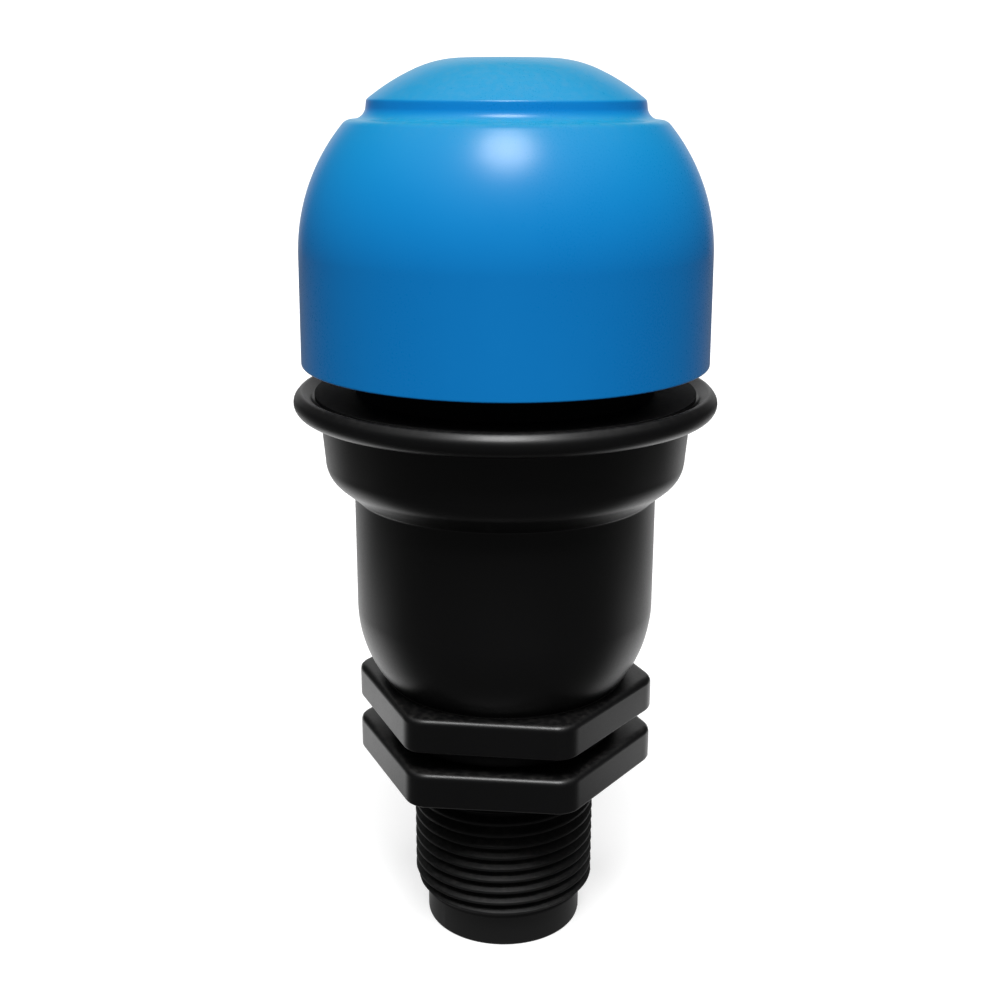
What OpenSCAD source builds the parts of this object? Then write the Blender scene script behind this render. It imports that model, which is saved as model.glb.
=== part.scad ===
// Combination air release valve: a black plastic bowl with a flared outlet flange, a blue dome
// cap that screws on, and a three-quarter inch parallel pipe thread at the inlet.
// A shutter closes the large air port as the float rises. A lever under the shutter works the
// small air nozzle. Everything is in millimetres, +Z is up, and the origin is the centre of
// the inlet's end face.

/* [Inlet nipple] */
// Outer diameter of the plain pilot at the inlet's end
pilot_d = 22.8; // [21.5:0.1:23.5]
// Length of the plain pilot
pilot_len = 4.9; // [4:0.1:9]
// Radius on the pilot's end edges
pilot_edge_r = 0.5; // [0.2:0.1:0.8]
// Outer diameter of the pipe thread
thread_d = 26.44; // [25.9:0.01:27]
// Depth of the pipe thread
thread_depth = 1.16; // [0.9:0.01:1.2]
// Pitch of the pipe thread
thread_pitch = 1.814; // [1.7:0.001:2]
// Length of the threaded stretch
thread_len = 18.3; // [14:0.1:22]
// Angle by which the pipe thread is turned about the axis
thread_start = 133; // [0:1:359]
// Length of the plain collar between the thread and the hexagon
collar_len = 2.6; // [1.5:0.1:4]
// Bore of the inlet
inlet_bore_d = 18; // [15:0.1:19]

/* [Hexagons] */
// Width across the flats of both hexagons
hex_af = 37.7; // [36.5:0.1:40]
// Radius on the upright corners of the hexagons
hex_corner_r = 3.5; // [2:0.1:5]
// Radius on the top and bottom edges of the hexagons
hex_edge_r = 0.6; // [0.3:0.1:0.9]
// Height of the nipple's hexagon
nipple_hex_h = 5.1; // [4:0.1:7]
// Height of the body's hexagon
body_hex_h = 5; // [4:0.1:7]
// Gap between the two hexagons
hex_gap = 3; // [2.6:0.1:4]
// Angle by which the tightened nipple misses the body's flats
nipple_clocking = 0.9; // [0:0.1:10]

/* [Nipple joint] */
// Diameter of the nipple's upper spigot, under its thread
spigot_d = 28.2; // [27.4:0.1:28.6]
// Depth of the relief under the spigot's thread, where the rubber ring lies
relief_depth = 0.4; // [0.3:0.1:0.6]
// Depth of the joint's thread ridges
joint_depth = 0.55; // [0.4:0.01:0.6]
// Pitch of the joint's thread
joint_pitch = 2; // [1.8:0.1:2.2]
// Depth to which the spigot goes into the body
joint_len = 7; // [6.5:0.1:7.5]

/* [Bowl] */
// Outer diameter of the bowl
bowl_d = 41.9; // [41:0.1:43]
// Diameter at which the rounded bowl meets its hexagon
bowl_foot_d = 34; // [33:0.1:35]
// Radius of the bowl's rounded bottom
bowl_round_r = 17.5; // [16:0.1:19]
// Height of the bowl's straight wall
bowl_straight_h = 16.3; // [15:0.1:22]
// Wall of the bowl
bowl_wall = 2.2; // [1.8:0.1:2.5]
// Thickness of the bowl's floor over the nipple joint
floor_t = 2; // [1.6:0.1:2.6]
// Diameter of the water passage through the floor
throat_d = 23; // [21:0.1:24]
// How far the guide ribs stand in from the bowl's wall
rib_depth = 1.7; // [1.2:0.1:2]
// Width of a guide rib
rib_w = 1.6; // [1:0.1:2.4]
// Number of guide ribs
rib_count = 6; // [4:1:8]

/* [Cup and flange] */
// Outer diameter of the cup at its lower end
cup_low_d = 49.6; // [49:0.1:51]
// Outer diameter of the cup under the flange
cup_top_d = 50.6; // [50.4:0.1:52]
// Slope of the shoulder under the cup, from level
shoulder_angle = 40; // [35:1:45]
// Radius where the shoulder turns into the cup's wall
cup_round_r = 3.7; // [3:0.1:4.2]
// Height of the cup from its rounding to the flange
cup_h = 6.55; // [6:0.05:9]
// Bore of the cup, at the roots of its thread
cup_bore_d = 45.2; // [45:0.1:45.8]
// Thickness of the cup's floor at its outer edge, over the sloping shoulder
cup_floor_t = 1.8; // [1.5:0.1:2.2]
// Outer diameter of the flange
flange_d = 57.8; // [56.6:0.1:60]
// Thickness of the flange's round lip
flange_t = 3.14; // [2.6:0.01:3.4]
// Depth of the shallow dish inside the lip
dish_depth = 0.9; // [0.6:0.1:1.2]

/* [Dome cap] */
// Height of the air outlet between the flange and the cap
outlet_gap = 3.6; // [3:0.1:6]
// Outer diameter of the cap at its widest turn into the dome
cap_d = 55.06; // [54:0.01:56.5]
// Extra diameter at the skirt's lower edge
skirt_flare = 0.26; // [0:0.01:0.6]
// Height of the skirt
skirt_h = 14.3; // [12:0.1:18]
// Distance of the dome's arc centre from the axis
dome_offset = 1.69; // [1:0.01:2.5]
// Height of the ledge above the skirt
ledge_h = 17.4; // [17:0.1:17.8]
// Diameter of the crown at its edge
crown_d = 36.3; // [35.5:0.1:37.5]
// Height of the crown's edge over the ledge
crown_step = 2.45; // [1.8:0.05:3.2]
// Draft of the crown's side, as extra radius at its foot
crown_draft = 0.4; // [0.2:0.05:0.6]
// Radius of the crown's arc
crown_r = 29.1; // [27:0.1:33]
// Radius at which the crown turns into its flat top
crown_turn_r = 15.7; // [12:0.1:18]
// Diameter of the crown's flat top
crown_flat_d = 11; // [8:0.1:13]
// Wall of the cap
cap_wall = 2.2; // [1.8:0.1:2.5]
// Wall of the threaded sleeve inside the cap
sleeve_wall = 2.35; // [2:0.05:2.7]
// Pitch of the cap's thread
cap_pitch = 3; // [2.8:0.1:3.4]
// Depth of the cap's thread ridges
cap_thread_depth = 0.8; // [0.6:0.05:0.9]

/* [Bonnet] */
// Thickness of the gasket under the bonnet
gasket_t = 1.3; // [1:0.1:1.8]
// Pitch of the bonnet's thread in the cup
bonnet_pitch = 2.5; // [2.2:0.1:2.7]
// Diameter of the large air port
port_d = 20; // [18:0.1:21]
// Thickness of the plate around the large air port
port_plate_t = 2.7; // [2.4:0.1:3]
// Height of the air windows
window_h = 16.1; // [14:0.1:20]
// Number of pillars between the windows
pillar_count = 6; // [4:1:8]
// Width of a pillar
pillar_w = 3.2; // [2.4:0.1:4]
// Thickness of the deck over the windows
deck_t = 2.4; // [2:0.1:3]
// Diameter of the neck that carries the cap, under its thread
neck_d = 29.2; // [28.6:0.1:29.8]
// Height of the neck
neck_h = 8.6; // [8:0.1:10]
// Wall of the neck
neck_wall = 3; // [2.4:0.1:4]
// Thickness of the ring that the cap tightens on
cap_ring_t = 1.2; // [0.8:0.1:1.6]
// Wall of the insect screen
screen_t = 0.6; // [0.4:0.1:0.8]
// Number of slots around the insect screen
screen_slots = 40; // [24:1:48]
// Rows of slots in the insect screen
screen_rows = 3; // [2:1:5]
// Height of the screen's plain foot
screen_foot_h = 3.2; // [2.4:0.1:4]
// Thickness of the screen's brim, which lies in the flange's dish
screen_brim_t = 0.5; // [0.3:0.1:0.6]
// Width of a slot in the insect screen
slot_w = 1.4; // [0.8:0.1:1.8]

/* [Shutter] */
// Travel of the shutter up to its seat
shutter_lift = 5; // [4:0.1:5.5]
// Thickness of the shutter's disc
shutter_t = 2; // [1.6:0.1:2.2]
// Height of the rim that bites the seal
shutter_rim_h = 0.6; // [0.4:0.1:0.8]
// Width of the rubber seal around the air port
seal_w = 2.6; // [2.2:0.1:3]
// Depth to which the seal sits in its groove
seal_set = 1.2; // [0.8:0.1:1.4]
// Height by which the seal stands out of its groove
seal_proud = 0.6; // [0.4:0.1:0.8]
// Diameter of the guide stem
stem_d = 5; // [4:0.1:5.6]
// Wall of the guide bush
bush_wall = 1.1; // [0.8:0.1:1.4]
// Thickness of the clip on the stem
clip_t = 1; // [0.8:0.1:1.2]

/* [Nozzle and lever] */
// Distance from the lever's pivot to the float's pin
lever_arm = 12; // [11.5:0.1:12.5]
// Distance from the lever's pivot to the nozzle
nozzle_arm = 3.6; // [3.4:0.1:4]
// Depth of the pivot below the shutter's disc
pivot_drop = 3.8; // [3.6:0.1:4.2]
// Bore of the small air nozzle
nozzle_bore_d = 1; // [0.6:0.1:1.6]
// Diameter of the lever's pins
pin_d = 1.6; // [1.4:0.1:2]
// Width of the lever
lever_w = 4.2; // [3.6:0.1:5]
// Thickness of the lever's bar
lever_t = 2.4; // [2:0.1:2.8]
// Thickness of the ears that carry the lever's pins
ear_t = 1.6; // [1.2:0.1:2]

/* [Float] */
// Travel of the float that closes the nozzle
float_drop = 2.4; // [2:0.1:2.6]
// Wall of the float
float_wall = 1.2; // [1:0.1:1.6]
// Radius around the float's bottom
float_round_r = 6; // [5:0.1:7]
// Thickness of the baffle under the float
baffle_t = 1.2; // [1:0.1:1.6]
// Depth of the baffle's recess in the floor
baffle_set = 0.5; // [0.3:0.1:0.8]

/* [Fits] */
// Gap between screwed threads
thread_gap = 0.25; // [0.2:0.01:0.35]
// Gap around a pin or stem that turns or slides
running_gap = 0.06; // [0.03:0.01:0.1]
// Gap beside a moving part
side_gap = 0.3; // [0.2:0.05:0.4]
// Gap left when a seal closes
seal_gap = 0.1; // [0.05:0.01:0.15]
// Gap between pieces that are pushed together
push_gap = 0.03; // [0.01:0.01:0.05]

/* [Hidden] */
$fn = 96;

black = [0.05, 0.05, 0.055];
blue = [0.06, 0.42, 0.75];
grey = [0.35, 0.36, 0.38];
rubber = [0.08, 0.08, 0.08];
steel = [0.7, 0.7, 0.72];
white = [0.9, 0.9, 0.88];

arc_steps = 18;      // straight pieces in a rounded stretch of an outline
turn_steps = 40;     // straight pieces in one turn of a thread
bite = 0.2;          // how far joined solids reach into each other
beyond = 1;          // how far a cut runs past the face it opens

// Heights, from the inlet's end upwards
z_thread = pilot_len;
z_collar = z_thread + thread_len;
z_nipple_hex = z_collar + collar_len;
z_gap = z_nipple_hex + nipple_hex_h;
z_body_hex = z_gap + hex_gap;
z_bowl = z_body_hex + body_hex_h;
bowl_r = bowl_d / 2;
bowl_in_r = bowl_r - bowl_wall;
bowl_arc_x = bowl_r - bowl_round_r;
z_bowl_arc = z_bowl + sqrt(pow(bowl_round_r, 2) - pow(bowl_foot_d / 2 - bowl_arc_x, 2));
z_shoulder = z_bowl_arc + bowl_straight_h;
cup_arc_x = cup_low_d / 2 - cup_round_r;
shoulder_out = cup_arc_x + cup_round_r * sin(shoulder_angle);
z_cup_arc = z_shoulder + (shoulder_out - bowl_r) * tan(shoulder_angle) + cup_round_r * cos(shoulder_angle);
z_flange = z_cup_arc + cup_h;
z_lip_top = z_flange + flange_t;
z_dish = z_lip_top - dish_depth;
lip_r = flange_t / 2;
lip_x = flange_d / 2 - lip_r;
lip_slope = 1;
dish_r = lip_x - lip_slope;
z_cap = z_lip_top + outlet_gap;
z_equator = z_cap + skirt_h;
z_ledge = z_equator + ledge_h;
z_crown_edge = z_ledge + crown_step;
z_crown_arc = z_crown_edge - sqrt(pow(crown_r, 2) - pow(crown_d / 2, 2));
z_crown_turn = z_crown_arc + sqrt(pow(crown_r - crown_turn_r, 2) - pow(crown_flat_d / 2, 2));
z_top = z_crown_turn + crown_turn_r;

// Inside the body
z_socket = z_body_hex + joint_len;
z_floor = z_socket + floor_t;
pipe_flank = 27.5;
pipe_crest_w = 0.36;
pipe_fade = 1.6;
screw_flank = 30;
screw_crest_w = 0.5;
screw_fade = 1;
relief_r = spigot_d / 2 - relief_depth;
joint_foot_w = screw_crest_w + 2 * joint_depth * tan(screw_flank);
cap_foot_w = screw_crest_w + 2 * cap_thread_depth * tan(screw_flank);
cup_bore_r = cup_bore_d / 2;
baffle_land = 2;
baffle_r = throat_d / 2 + baffle_land;
z_cup_floor = z_shoulder + (cup_bore_r - bowl_r) * tan(shoulder_angle) + cup_floor_t;
rib_in_r = bowl_in_r - rib_depth;

// Bonnet
z_bonnet = z_cup_floor + gasket_t;
bonnet_r = cup_bore_r - joint_depth - thread_gap;
z_port_plate = z_dish - port_plate_t;
z_seal = z_port_plate - seal_proud;
z_deck = z_dish + window_h;
z_neck = z_deck + deck_t;
z_sleeve = z_neck + cap_ring_t + 2 * push_gap;
sleeve_in_r = neck_d / 2 + cap_thread_depth + thread_gap;
sleeve_r = sleeve_in_r + sleeve_wall;
screen_inset = 1.4;
screen_r = bonnet_r - screen_inset;
pillar_t = 2;
hub_h = 3;
z_hub = z_deck - hub_h;
gusset_count = 6;
gusset_w = 1.6;
gusset_l = 3;
gusset_h = 6;
pillar_r = screen_r - screen_t - side_gap;
seal_land = 0.8;
seal_in_r = port_d / 2 + seal_land;
seal_mid_r = seal_in_r + seal_w / 2;

// Shutter, lever and float at rest
z_shutter_top = z_seal - seal_gap - shutter_lift;
z_disc = z_shutter_top - shutter_rim_h - shutter_t;
shutter_lap = 0.6;
shutter_r = seal_in_r + seal_w + shutter_lap;
stem_r = stem_d / 2;
bush_r = stem_r + running_gap + bush_wall;
z_clip = z_neck + push_gap;
x_pivot = -lever_arm;
z_pivot = z_disc - pivot_drop;
lever_angle = atan(float_drop / lever_arm);
z_link = z_pivot - float_drop;
x_nozzle = x_pivot + nozzle_arm;
nozzle_r = 1.7;
button_r = 1.5;
button_top = 1.9;
clip_groove_depth = 0.6;
clip_groove_r = stem_r - clip_groove_depth;
z_nozzle = z_pivot + button_top + seal_gap;
ear_wall = 0.9;
ear_r = pin_d / 2 + ear_wall;
ear_y = lever_w / 2 + side_gap;
tip_wall = 1;
lever_tip_h = pin_d + 2 * tip_wall;
lever_clear = 0.5;
z_float_top = z_link - lever_tip_h / 2 - side_gap - lever_clear;
float_rest_gap = 0.6;
z_float = z_floor + baffle_t - baffle_set + float_rest_gap;
float_play = 0.1;
float_r = rib_in_r - side_gap - float_play;
lid_t = 1.5;

// Points of an arc about [x, z] from angle a to angle b
function arc(x, z, r, a, b) =
    [for (i = [0 : arc_steps]) let (t = a + (b - a) * i / arc_steps) [x + r * cos(t), z + r * sin(t)]];

// Solid of revolution from an outline in radius and height
module turned(outline) {
    rotate_extrude() polygon(outline);
}

// Plain ring from height z, h tall
module ring(out_r, in_r, z, h) {
    rotate_extrude() translate([in_r, z]) square([out_r - in_r, h]);
}

// Flat shape raised from height z, h tall
module raised(z, h) {
    translate([0, 0, z]) linear_extrude(h) children();
}

// Solid rod from height z to height top with a right-hand thread cut on it. Each ridge is foot_w wide
// on the core and slants in by the flank angle. The ridges fade at both ends over the length fade.
module threaded_rod(z, top, core_r, depth, pitch, foot_w, flank, fade) {
    crest_w = foot_w - 2 * depth * tan(flank);
    edges = [-foot_w / 2, -crest_w / 2, crest_w / 2, foot_w / 2];
    first = floor(z / pitch) - 2;
    last = ceil(top / pitch) + 1;
    rows = 4 * (last - first + 1);
    points = [for (i = [0 : turn_steps - 1], m = [first : last], k = [0 : 3])
        let (a = 360 * i / turn_steps,
             h = min(max(pitch * (m + i / turn_steps) + edges[k], z), top),
             full = min(1, (h - z) / fade, (top - h) / fade),
             r = core_r + (k == 1 || k == 2 ? depth * full : 0))
        [r * cos(a), r * sin(a), h]];
    inner = [for (i = [0 : turn_steps - 2], j = [0 : rows - 2])
        [rows * i + j, rows * i + j + 1, rows * i + rows + j + 1, rows * i + rows + j]];
    seam_start = rows * (turn_steps - 1);
    seam = [for (j = [0 : rows - 6])
        [seam_start + j, seam_start + j + 1, j + 5, j + 4]];
    low = [for (i = [0 : turn_steps - 1]) rows * i];
    high = [for (i = [turn_steps - 1 : -1 : 0]) rows * i + rows - 1];
    polyhedron(points, concat(inner, seam, [low, high]));
}

// Outline of a hexagon with round corners, drawn in by inset
function hex_outline(inset) =
    [for (c = [0 : 5], s = [-3 : 3])
        let (reach = (hex_af / 2 - hex_corner_r) / cos(30), r = hex_corner_r - inset, a = 60 * c + 10 * s)
        [reach * cos(60 * c) + r * cos(a), reach * sin(60 * c) + r * sin(a)]];

// Hexagon with round corners and edges, standing on height z
module wrench_hex(z, h) {
    steps = 4;
    low_edge = [for (i = [0 : steps]) let (t = 90 * i / steps)
        [z + hex_edge_r * (1 - cos(t)), hex_edge_r * (1 - sin(t))]];
    high_edge = [for (i = [steps : -1 : 0]) [2 * z + h - low_edge[i][0], low_edge[i][1]]];
    levels = concat(low_edge, high_edge);
    count = len(hex_outline(0));
    points = [for (l = levels) each [for (p = hex_outline(l[1])) [p[0], p[1], l[0]]]];
    sides = [for (l = [0 : len(levels) - 2], i = [0 : count - 1]) let (j = (i + 1) % count)
        [count * l + i, count * l + count + i, count * l + count + j, count * l + j]];
    low = [for (i = [0 : count - 1]) i];
    high = [for (i = [count - 1 : -1 : 0]) count * (len(levels) - 1) + i];
    polyhedron(points, concat(sides, [low, high]));
}

// Inlet: pilot, pipe thread, collar, hexagon and the spigot that screws into the body
module inlet_nipple() {
    thread_core_r = thread_d / 2 - thread_depth;
    foot_w = pipe_crest_w + 2 * thread_depth * tan(pipe_flank);
    z_spigot_top = z_socket - push_gap;
    color(black) difference() {
        union() {
            turned(concat(
                [[0, 0]],
                arc(pilot_d / 2 - pilot_edge_r, pilot_edge_r, pilot_edge_r, -90, 0),
                [[pilot_d / 2, z_thread + bite], [0, z_thread + bite]]));
            rotate([0, 0, thread_start])
                threaded_rod(z_thread, z_collar + bite, thread_core_r, thread_depth, thread_pitch, foot_w,
                             pipe_flank, pipe_fade);
            translate([0, 0, z_collar]) cylinder(d = thread_d, h = collar_len + bite);
            rotate([0, 0, nipple_clocking]) wrench_hex(z_nipple_hex, nipple_hex_h);
            translate([0, 0, z_gap - bite]) cylinder(r = relief_r, h = hex_gap + 2 * bite);
            threaded_rod(z_body_hex, z_spigot_top, spigot_d / 2, joint_depth, joint_pitch, joint_foot_w,
                         screw_flank, screw_fade);
        }
        translate([0, 0, -beyond]) cylinder(d = inlet_bore_d, h = z_spigot_top + 2 * beyond);
    }
}

// Rubber ring squeezed between the two hexagons, around the spigot
module nipple_o_ring() {
    cord_r = hex_gap / 2 - push_gap;
    color(rubber) rotate_extrude()
        translate([relief_r + push_gap + cord_r, z_gap + hex_gap / 2]) circle(r = cord_r, $fn = 48);
}

// Body: hexagon, rounded bowl, cup and flange in one moulding
module valve_body() {
    in_round_r = bowl_round_r - bowl_wall;
    foot_angle = asin((z_bowl_arc - z_bowl) / bowl_round_r);
    floor_angle = asin((z_bowl_arc - z_floor) / in_round_r);
    root_fillet = 0.8;
    color(black) {
        difference() {
            union() {
                turned(concat(
                    [[0, z_body_hex + bite], [bowl_foot_d / 2, z_body_hex + bite]],
                    arc(bowl_arc_x, z_bowl_arc, bowl_round_r, -foot_angle, 0),
                    [[bowl_r, z_shoulder]],
                    arc(cup_arc_x, z_cup_arc, cup_round_r, shoulder_angle - 90, 0),
                    arc(cup_top_d / 2 + root_fillet, z_flange - root_fillet, root_fillet, 180, 90),
                    arc(lip_x, z_flange + lip_r, lip_r, -90, 90),
                    [[dish_r, z_dish], [0, z_dish]]));
                wrench_hex(z_body_hex, body_hex_h);
            }
            turned(concat(
                [[0, z_floor]],
                arc(bowl_arc_x, z_bowl_arc, in_round_r, -floor_angle, 0),
                [[bowl_in_r, z_cup_floor + bite], [0, z_cup_floor + bite]]));
            threaded_rod(z_cup_floor, z_dish + beyond, bonnet_r + thread_gap, joint_depth, bonnet_pitch,
                         joint_foot_w + 2 * thread_gap, screw_flank, screw_fade);
            translate([0, 0, z_floor - baffle_set])
                cylinder(r = baffle_r + push_gap, h = baffle_set + beyond);
            translate([0, 0, z_socket - beyond]) cylinder(d = throat_d, h = floor_t + 2 * beyond);
            threaded_rod(z_body_hex - beyond, z_socket, spigot_d / 2 + thread_gap, joint_depth, joint_pitch,
                         joint_foot_w + 2 * thread_gap, screw_flank, screw_fade);
        }
        for (i = [0 : rib_count - 1])
            rotate([0, 0, 360 * (i + 0.5) / rib_count])
                translate([rib_in_r, -rib_w / 2, z_bowl_arc])
                    cube([rib_depth + bite, rib_w, z_shoulder - z_bowl_arc]);
    }
}

// Spoked ring in the bowl's floor, which breaks the rush of water under the float
module float_baffle() {
    hub_r = 5;
    spoke_w = 2.4;
    rim_in_r = throat_d / 2 - 0.8;
    z = z_floor - baffle_set;
    color(grey) {
        ring(baffle_r, rim_in_r, z, baffle_t);
        translate([0, 0, z]) cylinder(r = hub_r, h = baffle_t);
        for (a = [45 : 90 : 315])
            rotate([0, 0, a])
                translate([hub_r - bite, -spoke_w / 2, z])
                    cube([rim_in_r - hub_r + 2 * bite, spoke_w, baffle_t]);
    }
}

// Flat gasket on the cup's floor, under the bonnet
module body_gasket() {
    color(rubber) ring(bonnet_r, bowl_in_r + side_gap, z_cup_floor, gasket_t);
}

// Bonnet: threaded ring, air port plate, pillars, deck and the neck that carries the cap
module bonnet() {
    neck_r = neck_d / 2;
    color(grey) {
        difference() {
            threaded_rod(z_bonnet, z_dish, bonnet_r, joint_depth, bonnet_pitch, joint_foot_w,
                         screw_flank, screw_fade);
            translate([0, 0, z_bonnet - beyond])
                cylinder(r = bowl_in_r, h = z_port_plate - z_bonnet + beyond);
            translate([0, 0, z_port_plate - beyond]) cylinder(d = port_d, h = port_plate_t + 2 * beyond);
            ring(seal_in_r + seal_w, seal_in_r, z_port_plate - beyond, seal_set + beyond);
        }
        for (i = [0 : pillar_count - 1])
            rotate([0, 0, 360 * (i + 0.5) / pillar_count])
                translate([pillar_r - pillar_t, -pillar_w / 2, z_dish - bite])
                    cube([pillar_t, pillar_w, window_h + 2 * bite]);
        difference() {
            union() {
                translate([0, 0, z_deck]) cylinder(r = screen_r + 0.8, h = deck_t);
                translate([0, 0, z_hub]) cylinder(r = bush_r + 2.4, h = hub_h + bite);
                threaded_rod(z_neck - bite, z_neck + neck_h, neck_r, cap_thread_depth, cap_pitch,
                             cap_foot_w, screw_flank, screw_fade);
            }
            translate([0, 0, z_neck]) cylinder(r = neck_r - neck_wall, h = neck_h + beyond);
            translate([0, 0, z_hub - beyond])
                cylinder(r = bush_r + push_gap, h = hub_h + deck_t + 2 * beyond);
        }
    }
}

// Rubber ring in the groove around the large air port
module seat_seal() {
    color(rubber) ring(seal_in_r + seal_w - push_gap, seal_in_r + push_gap, z_seal, seal_proud + seal_set);
}

// Slotted screen around the windows, which keeps insects out: its brim covers the bonnet's joint
module insect_screen() {
    band_h = 1.2;
    pitch_h = (window_h - screen_foot_h) / screen_rows;
    in_r = screen_r - screen_t;
    color(steel) {
        raised(z_dish, window_h) difference() {
            circle(r = screen_r);
            circle(r = in_r);
            for (i = [0 : screen_slots - 1])
                rotate(360 * (i + 0.5) / screen_slots)
                    translate([in_r - beyond, -slot_w / 2])
                        square([screen_t + 2 * beyond, slot_w]);
        }
        ring(dish_r - side_gap, in_r, z_dish, screen_brim_t);
        ring(screen_r, in_r, z_dish, screen_foot_h);
        for (j = [1 : screen_rows])
            ring(screen_r, in_r, z_dish + screen_foot_h + j * pitch_h - band_h, band_h);
    }
}

// Bush in the bonnet's hub, in which the stem slides
module guide_bush() {
    flange_h = 1;
    color(white) difference() {
        union() {
            translate([0, 0, z_hub - flange_h]) cylinder(r = bush_r, h = z_neck - z_hub + flange_h);
            translate([0, 0, z_hub - flange_h]) cylinder(r = bush_r + 1.4, h = flange_h);
        }
        translate([0, 0, z_hub - flange_h - beyond])
            cylinder(r = stem_r + running_gap, h = z_neck - z_hub + flange_h + 2 * beyond);
    }
}

// Ring on the deck, on which the cap tightens
module cap_ring() {
    color(rubber) ring(sleeve_r - push_gap, sleeve_in_r, z_neck + push_gap, cap_ring_t);
}

// Dome cap: skirt, dome, stepped crown and the threaded sleeve inside
module dome_cap() {
    cap_r = cap_d / 2;
    edge_r = cap_r + skirt_flare / 2;
    edge_turn_r = 0.3;
    dome_r = cap_r - dome_offset;
    ledge_turn_r = 1.6;
    turn_angle = asin((ledge_h - ledge_turn_r) / (dome_r - ledge_turn_r));
    ledge_x = dome_offset + (dome_r - ledge_turn_r) * cos(turn_angle);
    crown_x = crown_d / 2;
    crown_turn_x = crown_flat_d / 2;
    flat_angle = acos(crown_turn_x / (crown_r - crown_turn_r));
    foot_turn_r = 1.4;
    in_r = dome_r - cap_wall;
    z_roof = z_ledge - cap_wall;
    in_crown_r = crown_r - cap_wall;
    crown_in_r = sleeve_in_r + side_gap;
    z_relief = z_neck + neck_h + beyond / 2;
    in_flat_angle = asin((z_top - cap_wall - z_crown_arc) / in_crown_r);
    color(blue) difference() {
        union() {
            difference() {
                turned(concat(
                    [[0, z_cap]],
                    arc(edge_r - edge_turn_r, z_cap + edge_turn_r, edge_turn_r, -90, 0),
                    arc(dome_offset, z_equator, dome_r, 0, turn_angle),
                    arc(ledge_x, z_ledge - ledge_turn_r, ledge_turn_r, turn_angle, 90),
                    arc(crown_x + crown_draft + foot_turn_r, z_ledge + foot_turn_r, foot_turn_r, 270, 180),
                    [[crown_x, z_crown_edge - edge_turn_r]],
                    arc(0, z_crown_arc, crown_r, acos(crown_x / crown_r), flat_angle),
                    arc(crown_turn_x, z_crown_turn, crown_turn_r, flat_angle, 90),
                    [[0, z_top]]));
                turned(concat(
                    [[0, z_cap - beyond], [edge_r - cap_wall, z_cap - beyond]],
                    arc(dome_offset, z_equator, in_r, 0, asin((z_roof - z_equator) / in_r)),
                    [[0, z_roof]]));
            }
            translate([0, 0, z_sleeve]) cylinder(r = sleeve_r, h = z_roof + bite - z_sleeve);
            for (i = [0 : gusset_count - 1])
                rotate([0, 0, 360 * i / gusset_count])
                    translate([sleeve_r - bite, -gusset_w / 2, z_roof - gusset_h])
                        cube([gusset_l + bite, gusset_w, gusset_h + bite]);
        }
        threaded_rod(z_sleeve - beyond, z_relief + bite, neck_d / 2 + thread_gap, cap_thread_depth,
                     cap_pitch, cap_foot_w + 2 * thread_gap, screw_flank, screw_fade);
        turned(concat(
            [[0, z_relief], [crown_in_r, z_relief]],
            arc(0, z_crown_arc, in_crown_r, acos(crown_in_r / in_crown_r), in_flat_angle),
            [[0, z_top - cap_wall]]));
    }
}

// Shutter: disc with a rim that closes on the seal, and two ears that carry the lever
module shutter_disc() {
    hub_h = 1.2;
    ear_depth = z_disc - z_pivot;
    color(grey) difference() {
        union() {
            translate([0, 0, z_disc]) cylinder(r = shutter_r, h = shutter_t);
            ring(seal_mid_r + 0.5, seal_mid_r - 0.5, z_disc + shutter_t - bite, shutter_rim_h + bite);
            translate([0, 0, z_disc + shutter_t - bite]) cylinder(r = stem_r + 2, h = hub_h + bite);
            for (side = [-1, 1])
                translate([x_pivot, side * (ear_y + ear_t / 2), 0]) {
                    translate([-ear_r, -ear_t / 2, z_pivot]) cube([2 * ear_r, ear_t, ear_depth + bite]);
                    translate([0, 0, z_pivot]) rotate([90, 0, 0])
                        cylinder(r = ear_r, h = ear_t, center = true);
                }
        }
        translate([0, 0, z_disc - beyond])
            cylinder(r = stem_r + push_gap, h = shutter_t + hub_h + 2 * beyond);
        translate([x_nozzle, 0, z_disc - beyond])
            cylinder(r = nozzle_r + push_gap, h = shutter_t + 2 * beyond);
        translate([x_pivot, 0, z_pivot]) rotate([90, 0, 0])
            cylinder(r = pin_d / 2 + push_gap, h = 2 * (ear_y + ear_t + beyond), center = true);
    }
}

// Stem pressed into the shutter: it slides in the bush and carries the clip
module guide_stem() {
    head_h = 0.9;
    color(steel) difference() {
        union() {
            translate([0, 0, z_disc - head_h])
                cylinder(r = stem_r, h = z_clip + clip_t + 2.2 - z_disc + head_h);
            translate([0, 0, z_disc - head_h]) cylinder(r = stem_r + 0.9, h = head_h);
        }
        ring(stem_r + beyond, clip_groove_r, z_clip, clip_t + push_gap);
    }
}

// Open clip in the stem's groove: it rests on the bush and carries the shutter's weight
module stem_clip() {
    color(steel) difference() {
        ring(stem_r + 1.3, clip_groove_r + push_gap, z_clip, clip_t);
        translate([0, -clip_groove_r * 0.8, z_clip - beyond])
            cube([stem_r + 1.3 + beyond, clip_groove_r * 1.6, clip_t + 2 * beyond]);
    }
}

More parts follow.
